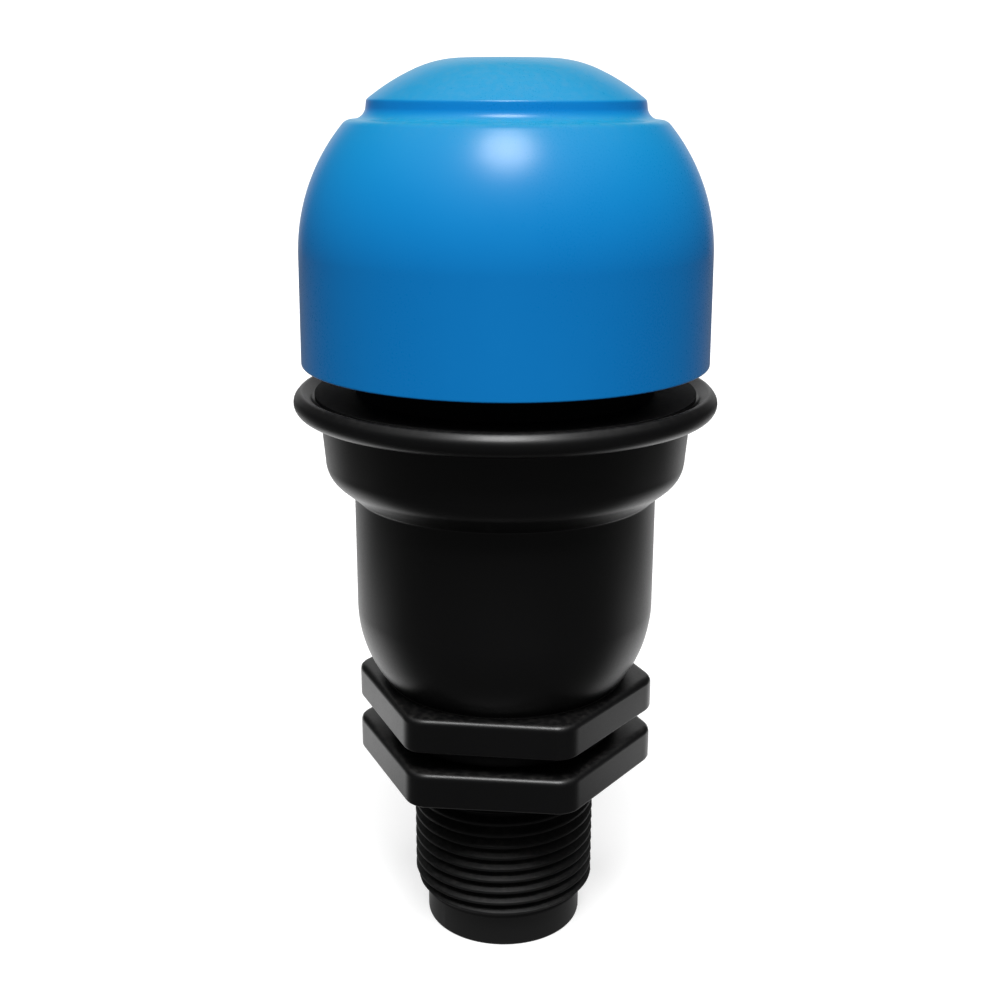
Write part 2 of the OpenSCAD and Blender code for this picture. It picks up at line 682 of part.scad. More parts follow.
// Small air nozzle through the shutter
module air_nozzle() {
    flange_h = 0.8;
    tip_r = nozzle_bore_d / 2 + 0.6;
    z_high = z_disc + shutter_t + 0.4;
    color(steel) difference() {
        union() {
            translate([x_nozzle, 0, z_disc - flange_h])
                cylinder(r = nozzle_r, h = z_high - z_disc + flange_h);
            translate([x_nozzle, 0, z_disc - flange_h]) cylinder(r = nozzle_r + 0.6, h = flange_h);
            translate([x_nozzle, 0, z_nozzle])
                cylinder(r1 = tip_r, r2 = nozzle_r, h = z_disc - flange_h + bite - z_nozzle);
        }
        translate([x_nozzle, 0, z_nozzle - beyond])
            cylinder(d = nozzle_bore_d, h = z_high - z_nozzle + 2 * beyond);
    }
}

// Pin through both ears and the lever, with a head at each end
module cross_pin(x, z) {
    half = ear_y + ear_t + push_gap;
    head_h = 0.5;
    color(steel) translate([x, 0, z]) rotate([90, 0, 0]) {
        cylinder(d = pin_d, h = 2 * half + bite, center = true);
        for (end = [0, 180]) rotate([end, 0, 0]) translate([0, 0, half])
            cylinder(d = pin_d + 0.8, h = head_h);
    }
}

module lever_pin() {
    cross_pin(x_pivot, z_pivot);
}

module link_pin() {
    cross_pin(0, z_link);
}

// The lever's own frame: its pivot is at the origin and its bar lies level when the nozzle is closed
module at_lever() {
    translate([x_pivot, 0, z_pivot]) rotate([0, lever_angle, 0]) children();
}

// Lever between the shutter's ears and the float's ears, with a slot for the float's pin
module float_lever() {
    slot_d = pin_d + 2 * running_gap;
    slide = 0.5;
    color(white) at_lever() difference() {
        union() {
            rotate([90, 0, 0]) cylinder(d = lever_tip_h, h = lever_w, center = true);
            translate([0, -lever_w / 2, -lever_t / 2]) cube([lever_arm, lever_w, lever_t]);
            translate([lever_arm - slide, -lever_w / 2, -lever_tip_h / 2])
                cube([2 * slide, lever_w, lever_tip_h]);
            for (x = [lever_arm - slide, lever_arm + slide])
                translate([x, 0, 0]) rotate([90, 0, 0])
                    cylinder(d = lever_tip_h, h = lever_w, center = true);
        }
        rotate([90, 0, 0]) cylinder(d = slot_d, h = lever_w + 2 * beyond, center = true);
        translate([lever_arm - slide, -lever_w / 2 - beyond, -slot_d / 2])
            cube([2 * slide, lever_w + 2 * beyond, slot_d]);
        for (x = [lever_arm - slide, lever_arm + slide])
            translate([x, 0, 0]) rotate([90, 0, 0])
                cylinder(d = slot_d, h = lever_w + 2 * beyond, center = true);
        translate([nozzle_arm, 0, 0]) cylinder(r = button_r + push_gap, h = lever_t);
    }
}

// Rubber button in the lever, which closes the nozzle
module nozzle_button() {
    color(rubber) at_lever() translate([nozzle_arm, 0, push_gap])
        cylinder(r = button_r, h = button_top - push_gap);
}

// Hollow float: the cup-shaped lower part
module float_shell() {
    in_r = float_r - float_wall;
    in_round_r = float_round_r - float_wall;
    z_rim = z_float_top - lid_t;
    color(white) turned(concat(
        [[0, z_float]],
        arc(float_r - float_round_r, z_float + float_round_r, float_round_r, -90, 0),
        [[float_r, z_rim], [in_r, z_rim]],
        arc(in_r - in_round_r, z_float + float_round_r, in_round_r, 0, -90),
        [[0, z_float + float_wall]]));
}

// Lid of the float, with a rim inside the shell and two ears for the lever's pin
module float_lid() {
    rim_h = 2;
    in_r = float_r - float_wall - push_gap;
    z = z_float_top - lid_t;
    ear_h = z_link - z_float_top;
    color(white) difference() {
        union() {
            translate([0, 0, z]) cylinder(r = float_r, h = lid_t);
            ring(in_r, in_r - float_wall, z - rim_h, rim_h + bite);
            for (side = [-1, 1])
                translate([0, side * (ear_y + ear_t / 2), 0]) {
                    translate([-ear_r, -ear_t / 2, z_float_top - bite])
                        cube([2 * ear_r, ear_t, ear_h + bite]);
                    translate([0, 0, z_link]) rotate([90, 0, 0])
                        cylinder(r = ear_r, h = ear_t, center = true);
                }
        }
        translate([0, 0, z_link]) rotate([90, 0, 0])
            cylinder(r = pin_d / 2 + push_gap, h = 2 * (ear_y + ear_t + beyond), center = true);
    }
}

inlet_nipple();
nipple_o_ring();
valve_body();
float_baffle();
body_gasket();
bonnet();
seat_seal();
insect_screen();
guide_bush();
cap_ring();
dome_cap();
shutter_disc();
guide_stem();
stem_clip();
air_nozzle();
lever_pin();
float_lever();
nozzle_button();
link_pin();
float_shell();
float_lid();
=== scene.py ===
"""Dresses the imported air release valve: a blue dome cap on a black moulded body with a pipe thread.

The three mouldings that show (cap, body and inlet nipple) are rebuilt here as smooth meshes with moulded
edges, seams and a helical thread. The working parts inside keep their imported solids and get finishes.
Lengths inside the classes are in millimetres, as a moulder would quote them, and become metres in the mesh.
"""

import logging
from dataclasses import dataclass, field, replace
from enum import Enum
from math import acos, asin, atan2, cos, degrees, pi, radians, sin, sqrt, tan

import bpy
import numpy as np
from mathutils import Matrix, Vector


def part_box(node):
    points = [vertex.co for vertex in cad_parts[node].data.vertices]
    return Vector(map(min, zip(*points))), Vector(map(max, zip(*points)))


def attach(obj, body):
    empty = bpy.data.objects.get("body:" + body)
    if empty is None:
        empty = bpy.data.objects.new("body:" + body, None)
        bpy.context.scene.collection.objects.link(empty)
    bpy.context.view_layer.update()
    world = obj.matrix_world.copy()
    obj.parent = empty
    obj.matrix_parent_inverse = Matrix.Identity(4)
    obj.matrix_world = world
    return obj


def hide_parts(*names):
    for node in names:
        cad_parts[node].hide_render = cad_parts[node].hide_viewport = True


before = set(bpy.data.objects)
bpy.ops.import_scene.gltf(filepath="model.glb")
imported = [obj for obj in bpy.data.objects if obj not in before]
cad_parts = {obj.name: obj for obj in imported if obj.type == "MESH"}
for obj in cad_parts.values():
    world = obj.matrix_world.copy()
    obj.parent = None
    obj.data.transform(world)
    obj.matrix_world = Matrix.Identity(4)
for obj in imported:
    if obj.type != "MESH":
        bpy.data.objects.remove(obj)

LOG = logging.getLogger("air_valve")
MM = 0.001
TINY = 1e-6
# Height of the floor, a hair under the inlet's end.
UNDER = -0.00002
# Nominal radius of a hexagon's rings, radius of its lower and upper edges, steps around them and width of
# the flat beside them.
HEX_R = 20.0
HEX_EDGES = (0.5, 0.9)
HEX_EDGE_STEPS = 6
HEX_FACE_MARGIN = 0.5
# Sockets of the Mix node that carry its two colours and the mixed one.
MIX_LOW, MIX_HIGH, MIX_RESULT = 6, 7, 2
WHITE = (1.0, 1.0, 1.0, 1.0)
BLACK = (0.0, 0.0, 0.0, 1.0)
UP = Vector((0.0, 0.0, 1.0))
BLOCK_FACES = ((0, 1, 3, 2), (4, 6, 7, 5), (0, 4, 5, 1), (2, 3, 7, 6), (0, 2, 6, 4), (1, 5, 7, 3))
Point = tuple[float, float]
Point3 = tuple[float, float, float]
Colour = tuple[float, float, float]
Socket = bpy.types.NodeSocket
Feed = Socket | float | tuple[float, ...] | Vector


class Body(Enum):
    """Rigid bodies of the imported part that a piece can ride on."""

    BODY = "body"
    CAP = "cap"


class Slot(Enum):
    """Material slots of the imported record."""

    BLACK = "black_plastic"
    BLUE = "blue_plastic"
    GREY = "grey_plastic"
    WHITE = "white_plastic"
    RUBBER = "seal_rubber"
    STEEL = "stainless_steel"


class Section(Enum):
    """Shape of a moulding's outline at one height."""

    ROUND = "round"
    HEX = "hex"


class Op(Enum):
    """Arithmetic of the nodes."""

    ADD = "ADD"
    TIMES = "MULTIPLY"
    OVER = "DIVIDE"
    DOT = "DOT_PRODUCT"
    LENGTH = "LENGTH"


def arc(x: float, z: float, r: float, start: float, end: float, steps: int = 32) -> list[Point]:
    """Samples an arc in the radius and height plane.

    Args:
        x: Radius of the arc's centre from the valve's axis.
        z: Height of the arc's centre.
        r: Radius of the arc.
        start: First angle in degrees, from level outwards.
        end: Last angle in degrees.
        steps: Number of straight pieces.

    Returns:
        The points from start to end.
    """
    turns = np.radians(np.linspace(start, end, steps + 1))
    return [(x + r * cos(t), z + r * sin(t)) for t in turns]


def softened(outline: list[Point], blend: float, step: float = 0.06,
             flatness: float = 0.002) -> list[Point]:
    """Rounds every corner of an outline as a mould does, and keeps only the points that its shape needs.

    Args:
        outline: Points of the outline, sharp corners included.
        blend: Reach of the rounding on each side of a corner.
        step: Spacing at which the outline is worked.
        flatness: Largest distance by which a dropped point may lie off the outline.

    Returns:
        The softened outline, with its first and last points in place.
    """
    points = np.array(outline, dtype=float)
    gaps = np.hypot(*np.diff(points, axis=0).T)
    points = points[np.concatenate([[True], gaps > TINY])]
    run = np.concatenate([[0.0], np.cumsum(np.hypot(*np.diff(points, axis=0).T))])
    even = np.linspace(0.0, run[-1], int(run[-1] / step))
    fine = np.stack([np.interp(even, run, line) for line in points.T], axis=1)
    kernel = np.hanning(2 * round(blend / step) + 3)[1:-1]
    kernel /= kernel.sum()
    half = len(kernel) // 2
    head = 2 * fine[0] - fine[half:0:-1]
    tail = 2 * fine[-1] - fine[-2:-half - 2:-1]
    padded = np.concatenate([head, fine, tail])
    smooth = np.stack([np.convolve(line, kernel, "valid") for line in padded.T], axis=1)
    smooth[0], smooth[-1] = fine[0], fine[-1]
    return thinned(smooth, flatness)


def thinned(points: np.ndarray, flatness: float, longest: float = 4.0) -> list[Point]:
    """Drops the points of a dense outline that lie on a straight or gentle stretch.

    Args:
        points: Dense outline, one row a point.
        flatness: Largest distance by which a dropped point may lie off the outline.
        longest: Longest stretch left between two points.

    Returns:
        The points that are kept.
    """
    chord, off = points[-1] - points[0], points[1:-1] - points[0]
    size = float(np.hypot(*chord))
    if len(off):
        away = np.hypot(*off.T)
        if size > TINY:
            away = np.abs(off[:, 0] * chord[1] - off[:, 1] * chord[0]) / size
        worst = int(np.argmax(away))
        if away[worst] > flatness or size > longest:
            middle = 1 + (worst if away[worst] > flatness else len(off) // 2)
            return thinned(points[:middle + 1], flatness)[:-1] + thinned(points[middle:], flatness)
    return [tuple(map(float, points[0])), tuple(map(float, points[-1]))]


@dataclass(frozen=True)
class Hexagon:
    """Wrench hexagon with round corners."""

    flats: float = 37.7
    corner_r: float = 3.5
    turn: float = 0.0

    def radii(self, angles: np.ndarray, inset: float) -> np.ndarray:
        """Gives the outline's radius at each angle.

        Args:
            angles: Angles about the axis, in radians.
            inset: How far the outline is drawn in.

        Returns:
            One radius for each angle.
        """
        sector = pi / 3
        off = np.mod(angles - radians(self.turn) + sector / 2, sector) - sector / 2
        reach = (self.flats / 2 - self.corner_r) / cos(sector / 2)
        r = self.corner_r - inset
        flat = (self.flats / 2 - inset) / np.cos(sector / 2 - np.abs(off))
        limit = atan2(r * sin(sector / 2), reach + r * cos(sector / 2))
        round_part = reach * np.cos(off) + np.sqrt(np.maximum(r * r - (reach * np.sin(off)) ** 2, 0.0))
        return np.where(np.abs(off) < limit, round_part, flat)


@dataclass(frozen=True)
class Thread:
    """Right-hand thread that stands on a round stretch of a moulding."""

    low: float
    high: float
    depth: float
    pitch: float
    crest: float
    foot: float
    fade: float
    start: float = 0.0

    def rise(self, angles: np.ndarray, height: float) -> np.ndarray:
        """Gives how far the thread stands out at one height.

        Args:
            angles: Angles about the axis, in radians.
            height: Height above the inlet's end.

        Returns:
            The extra radius at each angle.
        """
        turn = height / self.pitch - (angles - radians(self.start)) / (2 * pi)
        away = np.abs(turn - np.round(turn)) * self.pitch
        flank = np.clip((self.foot / 2 - away) / (self.foot / 2 - self.crest / 2), 0.0, 1.0)
        lead_in, lead_out = (height - self.low) / self.fade, (self.high - height) / self.fade
        full = max(0.0, min(1.0, lead_in, lead_out))
        return self.depth * full * flank


@dataclass(frozen=True)
class Row:
    """One ring of a moulding's mesh."""

    radius: float
    height: float
    section: Section = Section.ROUND
    inset: float = 0.0
    plain: bool = False


def outward(points: np.ndarray, faces: list[tuple[int, ...]]) -> list[tuple[int, ...]]:
    """Turns the faces of a closed shell so that they all point out of it.

    Args:
        points: The mesh's points.
        faces: The shell's faces, all turned the same way.

    Returns:
        The faces, reversed if they pointed into the shell.
    """
    volume = 0.0
    for face in faces:
        first, *rest = (points[i] for i in face)
        volume += sum(float(np.dot(first, np.cross(a, b))) for a, b in zip(rest, rest[1:]))
    return faces if volume > 0 else [face[::-1] for face in faces]


@dataclass
class Moulding:
    """Closed mesh of revolution built ring by ring, with hexagons, threads and mould seams."""

    name: str
    columns: int
    hexagon: Hexagon = Hexagon()
    threads: tuple[Thread, ...] = ()
    seam_height: float = 0.0
    seam_width: float = 0.16
    seam_angles: tuple[float, ...] = (0.0, 180.0)
    seam_columns: tuple[float, ...] = (-0.9, -0.55, -0.25, 0.25, 0.55, 0.9)
    seam_limit: float = 26.0
    rib_draft: float = 0.85
    shading_weight: int = 60
    rows: list[Row] = field(default_factory=list)
    blocks: list[list[Point3]] = field(default_factory=list)

    def angles(self) -> np.ndarray:
        """Spaces the mesh's columns, closer together along the mould seams.

        Returns:
            Their angles in radians.
        """
        even = np.linspace(0.0, 360.0, self.columns, endpoint=False)
        if not self.seam_height:
            return np.radians(even)
        near = [angle + off for angle in self.seam_angles for off in self.seam_columns]
        merged = np.mod(np.concatenate([even, near]), 360.0)
        return np.radians(np.unique(np.round(merged, 4)))

    def extend(self, outline: list[Point]) -> None:
        """Adds a round ring for each point of an outline."""
        self.rows += [Row(r, z) for r, z in outline]

    def rib(self, angle: float, reach: Point, span: Point, width: float) -> None:
        """Adds an upright rib that stands on the moulding's wall.

        Args:
            angle: Direction of the rib about the axis, in degrees.
            reach: Radius of its free end and of its root.
            span: Its lowest and highest point.
            width: Its thickness.
        """
        turn = Matrix.Rotation(radians(angle), 3, "Z")
        halves = (width / 2 * self.rib_draft, width / 2)
        self.blocks.append([tuple(turn @ Vector((x, side * half, z)))
                            for z in span for x, half in zip(reach, halves) for side in (-1, 1)])

    def ring(self, row: Row, angles: np.ndarray) -> np.ndarray:
        """Works out one ring's points.

        Args:
            row: The ring's radius, height and section.
            angles: Angles of the columns.

        Returns:
            The points in millimetres, one row each.
        """
        if row.section is Section.HEX:
            radii = self.hexagon.radii(angles, row.inset)
        else:
            radii = np.full_like(angles, row.radius)
            for thread in self.threads:
                if not row.plain and thread.low <= row.height <= thread.high:
                    radii = radii + thread.rise(angles, row.height)
        if self.seam_height and row.radius < self.seam_limit:
            for seam in self.seam_angles:
                off = np.mod(angles - radians(seam) + pi, 2 * pi) - pi
                radii = radii + self.seam_height * np.exp(-((off * row.radius / self.seam_width) ** 2))
        heights = np.full_like(angles, row.height)
        return np.stack([radii * np.cos(angles), radii * np.sin(angles), heights], axis=1)

    def build(self) -> bpy.types.Object:
        """Makes the closed mesh.

        Returns:
            The new object, linked to the scene.
        """
        angles = self.angles()
        count = len(angles)
        points: list[np.ndarray] = []
        rings: list[list[int]] = []
        total = 0
        for row in self.rows:
            pole = row.radius < TINY and row.section is Section.ROUND
            rings.append([total] * count if pole else list(range(total, total + count)))
            points.append(np.array([[0.0, 0.0, row.height]]) if pole else self.ring(row, angles))
            total += len(points[-1])
        if rings[0][0] != rings[0][-1]:
            rings.append(rings[0])
        sides = [(i, (i + 1) % count) for i in range(count)]
        faces = [tuple(dict.fromkeys((a[i], a[j], b[j], b[i]))) for a, b in zip(rings, rings[1:])
                 for i, j in sides]
        faces = outward(np.concatenate(points), faces)
        for block in self.blocks:
            ends = np.array(block)
            faces += [tuple(total + i for i in face) for face in outward(ends, list(BLOCK_FACES))]
            points.append(ends)
            total += len(block)
        mesh = bpy.data.meshes.new(self.name)
        mesh.from_pydata((np.concatenate(points) * MM).tolist(), [], faces)
        mesh.validate()
        piece = bpy.data.objects.new(self.name, mesh)
        bpy.context.scene.collection.objects.link(piece)
        mesh.shade_smooth()
        piece.modifiers.new("even_shading", "WEIGHTED_NORMAL").weight = self.shading_weight
        return piece


def seat(piece: bpy.types.Object, body: Body, node: str, material: bpy.types.Material) -> None:
    """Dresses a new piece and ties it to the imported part.

    Args:
        piece: The new object.
        body: Body on which it rides.
        node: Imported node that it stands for.
        material: Its finish.
    """
    piece.data.materials.append(material)
    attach(piece, body.value)
    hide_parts(node)
    LOG.info("%s: %d points, for %s", piece.name, len(piece.data.vertices), node)


class Wiring:
    """Small helper that wires the nodes of a material or of the room."""

    def __init__(self, owner: bpy.types.Material | bpy.types.World, place: str) -> None:
        """Clears the owner's nodes and starts from one of its coordinates.

        Args:
            owner: The material or world.
            place: Blender's name of the coordinate.
        """
        owner.use_nodes = True
        self.tree = owner.node_tree
        self.tree.nodes.clear()
        self.place = self.add("TexCoord", {}).outputs[place]

    def add(self, kind: str, inputs: dict[str | int, Feed], **settings: str) -> bpy.types.Node:
        """Adds a node.

        Args:
            kind: Blender's name of the node, without its prefix.
            inputs: What feeds its sockets, by their names or places.
            settings: Its settings.

        Returns:
            The node.
        """
        node = self.tree.nodes.new("ShaderNode" + kind)
        for name, value in settings.items():
            setattr(node, name, value)
        for key, value in inputs.items():
            self.feed(node.inputs[key], value)
        return node

    def feed(self, target: Socket, value: Feed) -> None:
        """Links a socket to another one, or sets its constant.

        Args:
            target: The socket.
            value: What feeds it.
        """
        if isinstance(value, Socket):
            self.tree.links.new(value, target)
        else:
            target.default_value = value

    def noise(self, size: float, detail: float = 3.0, rough: float = 0.5,
              stretch: Point3 = (1.0, 1.0, 1.0)) -> Socket:
        """Adds a noise pattern.

        Args:
            size: Size of its features in millimetres.
            detail: Octaves of finer detail.
            rough: Share of the finer detail.
            stretch: Factors on the pattern's axes.

        Returns:
            The pattern's value, about 0.5.
        """
        aim = self.add("Mapping", {"Vector": self.place, "Scale": stretch})
        node = self.add("TexNoise", {"Vector": aim.outputs["Vector"], "Scale": 1.0 / (size * MM),
                                     "Detail": detail, "Roughness": rough})
        return node.outputs["Fac"]

    def remap(self, source: Socket, low: float, high: float, to_low: float = 0.0, to_high: float = 1.0,
              smooth: bool = False) -> Socket:
        """Maps a value from one range to another, and holds it there.

        Args:
            source: The value.
            low: Start of its range.
            high: End of its range.
            to_low: Result at the start.
            to_high: Result at the end.
            smooth: Whether it starts and ends gently.

        Returns:
            The mapped value.
        """
        ease = "SMOOTHSTEP" if smooth else "LINEAR"
        node = self.add("MapRange", {"Value": source, "From Min": low, "From Max": high,
                                     "To Min": to_low, "To Max": to_high}, interpolation_type=ease)
        return node.outputs["Result"]

    def math(self, kind: Op, value: Socket, *others: Socket) -> Socket:
        """Joins values by arithmetic, one after another.

        Args:
            kind: The operation.
            value: First value.
            others: Further values.

        Returns:
            The result.
        """
        for other in others:
            node = self.add("Math", {0: value, 1: other}, operation=kind.value)
            value = node.outputs["Value"]
        return value

    def vector(self, kind: Op, a: Socket, b: Vector = UP) -> Socket:
        """Reduces a vector to a value, by itself or with a second one."""
        return self.add("VectorMath", {0: a, 1: b}, operation=kind.value).outputs["Value"]

    def tint(self, share: Socket, low: Colour | Socket, high: Colour) -> Socket:
        """Mixes two colours.

        Args:
            share: Share of the second colour.
            low: First colour, or a socket with it.
            high: Second colour.

        Returns:
            The mixed colour.
        """
        first = (*low, 1.0) if isinstance(low, tuple) else low
        node = self.add("Mix", {0: share, MIX_LOW: first, MIX_HIGH: (*high, 1.0)}, data_type="RGBA")
        return node.outputs[MIX_RESULT]

    def up_facing(self) -> Socket:
        """Gives how far a surface faces up."""
        return self.vector(Op.DOT, self.add("NewGeometry", {}).outputs["Normal"], UP)

    def edges(self) -> Socket:
        """Gives how convex the surface is, about 0.5 where it is flat."""
        return self.add("NewGeometry", {}).outputs["Pointiness"]


class Graph(Wiring):
    """Nodes of one material, around a Principled shader."""

    def __init__(self, name: str) -> None:
        """Starts an empty material.

        Args:
            name: The material's name.
        """
        self.material = bpy.data.materials.new(name)
        super().__init__(self.material, "Object")
        self.shader = self.add("BsdfPrincipled", {})
        self.add("OutputMaterial", {"Surface": self.shader.outputs["BSDF"]})

    def put(self, name: str, value: Feed) -> None:
        """Feeds one of the shader's sockets."""
        self.feed(self.shader.inputs[name], value)

    def bump(self, *layers: tuple[Socket, float, float]) -> None:
        """Stacks bump layers on the shader's normal.

        Args:
            layers: Height pattern, strength and depth in millimetres of each layer.
        """
        below: dict[str, Socket] = {}
        for height, strength, depth in layers:
            inputs = {"Strength": strength, "Distance": depth * MM, "Height": height}
            below = {"Normal": self.add("Bump", inputs | below).outputs["Normal"]}
        self.put("Normal", below["Normal"])


@dataclass(frozen=True)
class MouldedPlastic:
    """Injection-moulded plastic with a fine mould grain, flow clouding, scuffs, a little dust and, where
    set, a painted lit-top tone.
    """

    name: str
    colour: Colour
    cloud: Colour
    scuff: Colour
    roughness: float
    roughness_spread: float
    specular: float
    grain: float
    grain_depth: float
    peel_depth: float
    dust: float
    # Painted light: a paler, less blue tone for up-facing surfaces, standing for how the lit top looks.
    lit_top_tone: Colour | None = None
    dull_span: Point | None = None
    dullness: float = 0.0
    dull_fade: float = 0.5
    flow_size: float = 22.0
    flow_stretch: Point3 = (1.0, 1.0, 0.35)
    peel_size: float = 3.2
    wear_size: float = 1.6
    wear_stretch: Point3 = (1.0, 1.0, 0.25)
    dust_size: float = 0.9
    cloud_range: Point = (0.3, 0.7)
    flow_range: Point = (0.25, 0.75)
    edge_range: Point = (0.52, 0.62)
    wear_range: Point = (0.42, 0.66)
    dust_range: Point = (0.45, 0.75)
    dust_slope: Point = (0.55, 0.95)
    # How far a surface must face up before the painted lit-top tone comes in.
    lit_top_slope: Point = (0.0, 0.95)
    rubbed_share: float = 0.5
    grain_spread: float = 0.03
    dust_roughness: float = 0.3
    peel_strength: float = 0.25
    grain_strength: float = 0.35
    dust_colour: Colour = (0.42, 0.4, 0.37)

    def material(self) -> bpy.types.Material:
        """Builds the finish.

        Returns:
            The material.
        """
        g = Graph(self.name)
        flow = g.noise(self.flow_size, detail=4.0, rough=0.55, stretch=self.flow_stretch)
        grain = g.noise(self.grain, detail=2.0, rough=0.6)
        peel = g.noise(self.peel_size, detail=2.0, rough=0.4)
        wear = g.noise(self.wear_size, detail=6.0, rough=0.72, stretch=self.wear_stretch)
        specks = g.noise(self.dust_size, detail=5.0, rough=0.7)
        rubbed = g.math(Op.TIMES, g.remap(g.edges(), *self.edge_range, 0.0, self.rubbed_share),
                        g.remap(wear, *self.wear_range))
        tone = g.tint(g.remap(flow, *self.cloud_range), self.colour, self.cloud)
        # Painted light: up-facing surfaces blend towards the lit-top tone.
        if self.lit_top_tone is not None:
            tone = g.tint(g.remap(g.up_facing(), *self.lit_top_slope), tone, self.lit_top_tone)
        tone = g.tint(rubbed, tone, self.scuff)
        settled = g.math(Op.TIMES, g.remap(g.up_facing(), *self.dust_slope, 0.0, self.dust),
                         g.remap(specks, *self.dust_range))
        g.put("Base Color", g.tint(settled, tone, self.dust_colour))
        low, high = self.roughness - self.grain_spread, self.roughness + self.grain_spread
        sheen = [g.remap(flow, *self.flow_range, -self.roughness_spread, self.roughness_spread),
                 g.remap(grain, *self.cloud_range, low, high),
                 g.remap(settled, 0.0, 1.0, 0.0, self.dust_roughness)]
        if self.dull_span is not None:
            sheen.append(self.dulled(g))
        g.put("Roughness", g.math(Op.ADD, *sheen))
        g.put("Specular IOR Level", self.specular)
        g.bump((peel, self.peel_strength, self.peel_depth), (grain, self.grain_strength, self.grain_depth))
        return g.material

    def dulled(self, g: Graph) -> Socket:
        """Adds roughness along the stretch of height that is duller than the rest.

        Args:
            g: The finish's nodes.

        Returns:
            The extra roughness.
        """
        low, high = self.dull_span
        height = g.vector(Op.DOT, g.place, UP)
        rising = g.remap(height, (low - self.dull_fade) * MM, low * MM, 0.0, self.dullness)
        ending = g.remap(height, high * MM, (high + self.dull_fade) * MM, 1.0, 0.0)
        return g.math(Op.TIMES, rising, ending)


@dataclass(frozen=True)
class Rubber:
    """Matt seal rubber with a fine bloom."""

    name: str
    colour: Colour
    bloom: Colour
    roughness: float
    spread: float = 0.08
    specular: float = 0.3
    patch_size: float = 2.5
    patch_range: Point = (0.4, 0.72)
    sheen_range: Point = (0.3, 0.7)
    grain: float = 0.25
    grain_strength: float = 0.4
    grain_depth: float = 0.02

    def material(self) -> bpy.types.Material:
        """Builds the finish.

        Returns:
            The material.
        """
        g = Graph(self.name)
        patch = g.noise(self.patch_size, detail=5.0, rough=0.65)
        grain = g.noise(self.grain, detail=2.0, rough=0.6)
        g.put("Base Color", g.tint(g.remap(patch, *self.patch_range), self.colour, self.bloom))
        low, high = self.roughness - self.spread, self.roughness + self.spread
        g.put("Roughness", g.remap(patch, *self.sheen_range, low, high))
        g.put("Specular IOR Level", self.specular)
        g.bump((grain, self.grain_strength, self.grain_depth))
        return g.material


@dataclass(frozen=True)
class DrawnSteel:
    """Stainless steel with fine drawing lines."""

    name: str
    colour: Colour
    roughness: float
    smoother: float = 0.08
    rougher: float = 0.1
    stain_share: float = 0.78
    stain_size: float = 4.0
    stain_range: Point = (0.35, 0.7)
    line_size: float = 0.12
    line_stretch: Point3 = (1.0, 1.0, 0.06)
    line_range: Point = (0.3, 0.7)
    line_strength: float = 0.2
    line_depth: float = 0.01

    def material(self) -> bpy.types.Material:
        """Builds the finish.

        Returns:
            The material.
        """
        g = Graph(self.name)
        lines = g.noise(self.line_size, detail=3.0, rough=0.6, stretch=self.line_stretch)
        stain = g.noise(self.stain_size, detail=4.0, rough=0.6)
        darker: Colour = tuple(self.stain_share * c for c in self.colour)
        g.put("Base Color", g.tint(g.remap(stain, *self.stain_range), self.colour, darker))
        low, high = self.roughness - self.smoother, self.roughness + self.rougher
        g.put("Roughness", g.remap(lines, *self.line_range, low, high))
        g.put("Metallic", 1.0)
        g.bump((lines, self.line_strength, self.line_depth))
        return g.material


@dataclass(frozen=True)
class Finishes:
    """All finishes of the valve."""

    # The blue's last colour is painted light: the tone its up-facing top takes where the overhead light
    # falls.
    blue: MouldedPlastic = MouldedPlastic(
        "blue_cap_plastic", (0.0045, 0.28, 0.82), (0.006, 0.3, 0.85), (0.08, 0.38, 0.8),
        roughness=0.3, roughness_spread=0.03, specular=0.27, grain=0.22, grain_depth=0.012, peel_depth=0.03,
        dust=0.1, lit_top_tone=(0.007, 0.275, 0.5))
    black: MouldedPlastic = MouldedPlastic(
        "black_body_plastic", (0.003, 0.003, 0.0032), (0.0042, 0.0042, 0.0045), (0.05, 0.05, 0.052),
        roughness=0.36, roughness_spread=0.04, specular=0.4, grain=0.26, grain_depth=0.008,
        peel_depth=0.03, dust=0.05)
    inlet: MouldedPlastic = replace(black, name="black_inlet_plastic", dull_span=(4.9, 24.0), dullness=0.26)
    # Partly painted shade: this near-black, dull plastic is the inner parts' own dark finish and also keeps
    # the gap under the cap as dark as its shade.
    grey: MouldedPlastic = MouldedPlastic(
        "dark_inner_plastic_and_shade", (0.01, 0.01, 0.0105), (0.013, 0.013, 0.0135), (0.04, 0.04, 0.041),
        roughness=0.68, roughness_spread=0.04, specular=0.12, grain=0.24, grain_depth=0.016,
        peel_depth=0.02, dust=0.04)
    white: MouldedPlastic = MouldedPlastic(
        "natural_float_plastic", (0.74, 0.73, 0.69), (0.68, 0.67, 0.62), (0.82, 0.81, 0.78),
        roughness=0.42, roughness_spread=0.05, specular=0.45, grain=0.24, grain_depth=0.012,
        peel_depth=0.02, dust=0.05)
    rubber: Rubber = Rubber("seal_rubber", (0.012, 0.012, 0.0125), (0.03, 0.03, 0.031), 0.68)
    steel: DrawnSteel = DrawnSteel("stainless_steel", (0.62, 0.61, 0.59), 0.3)


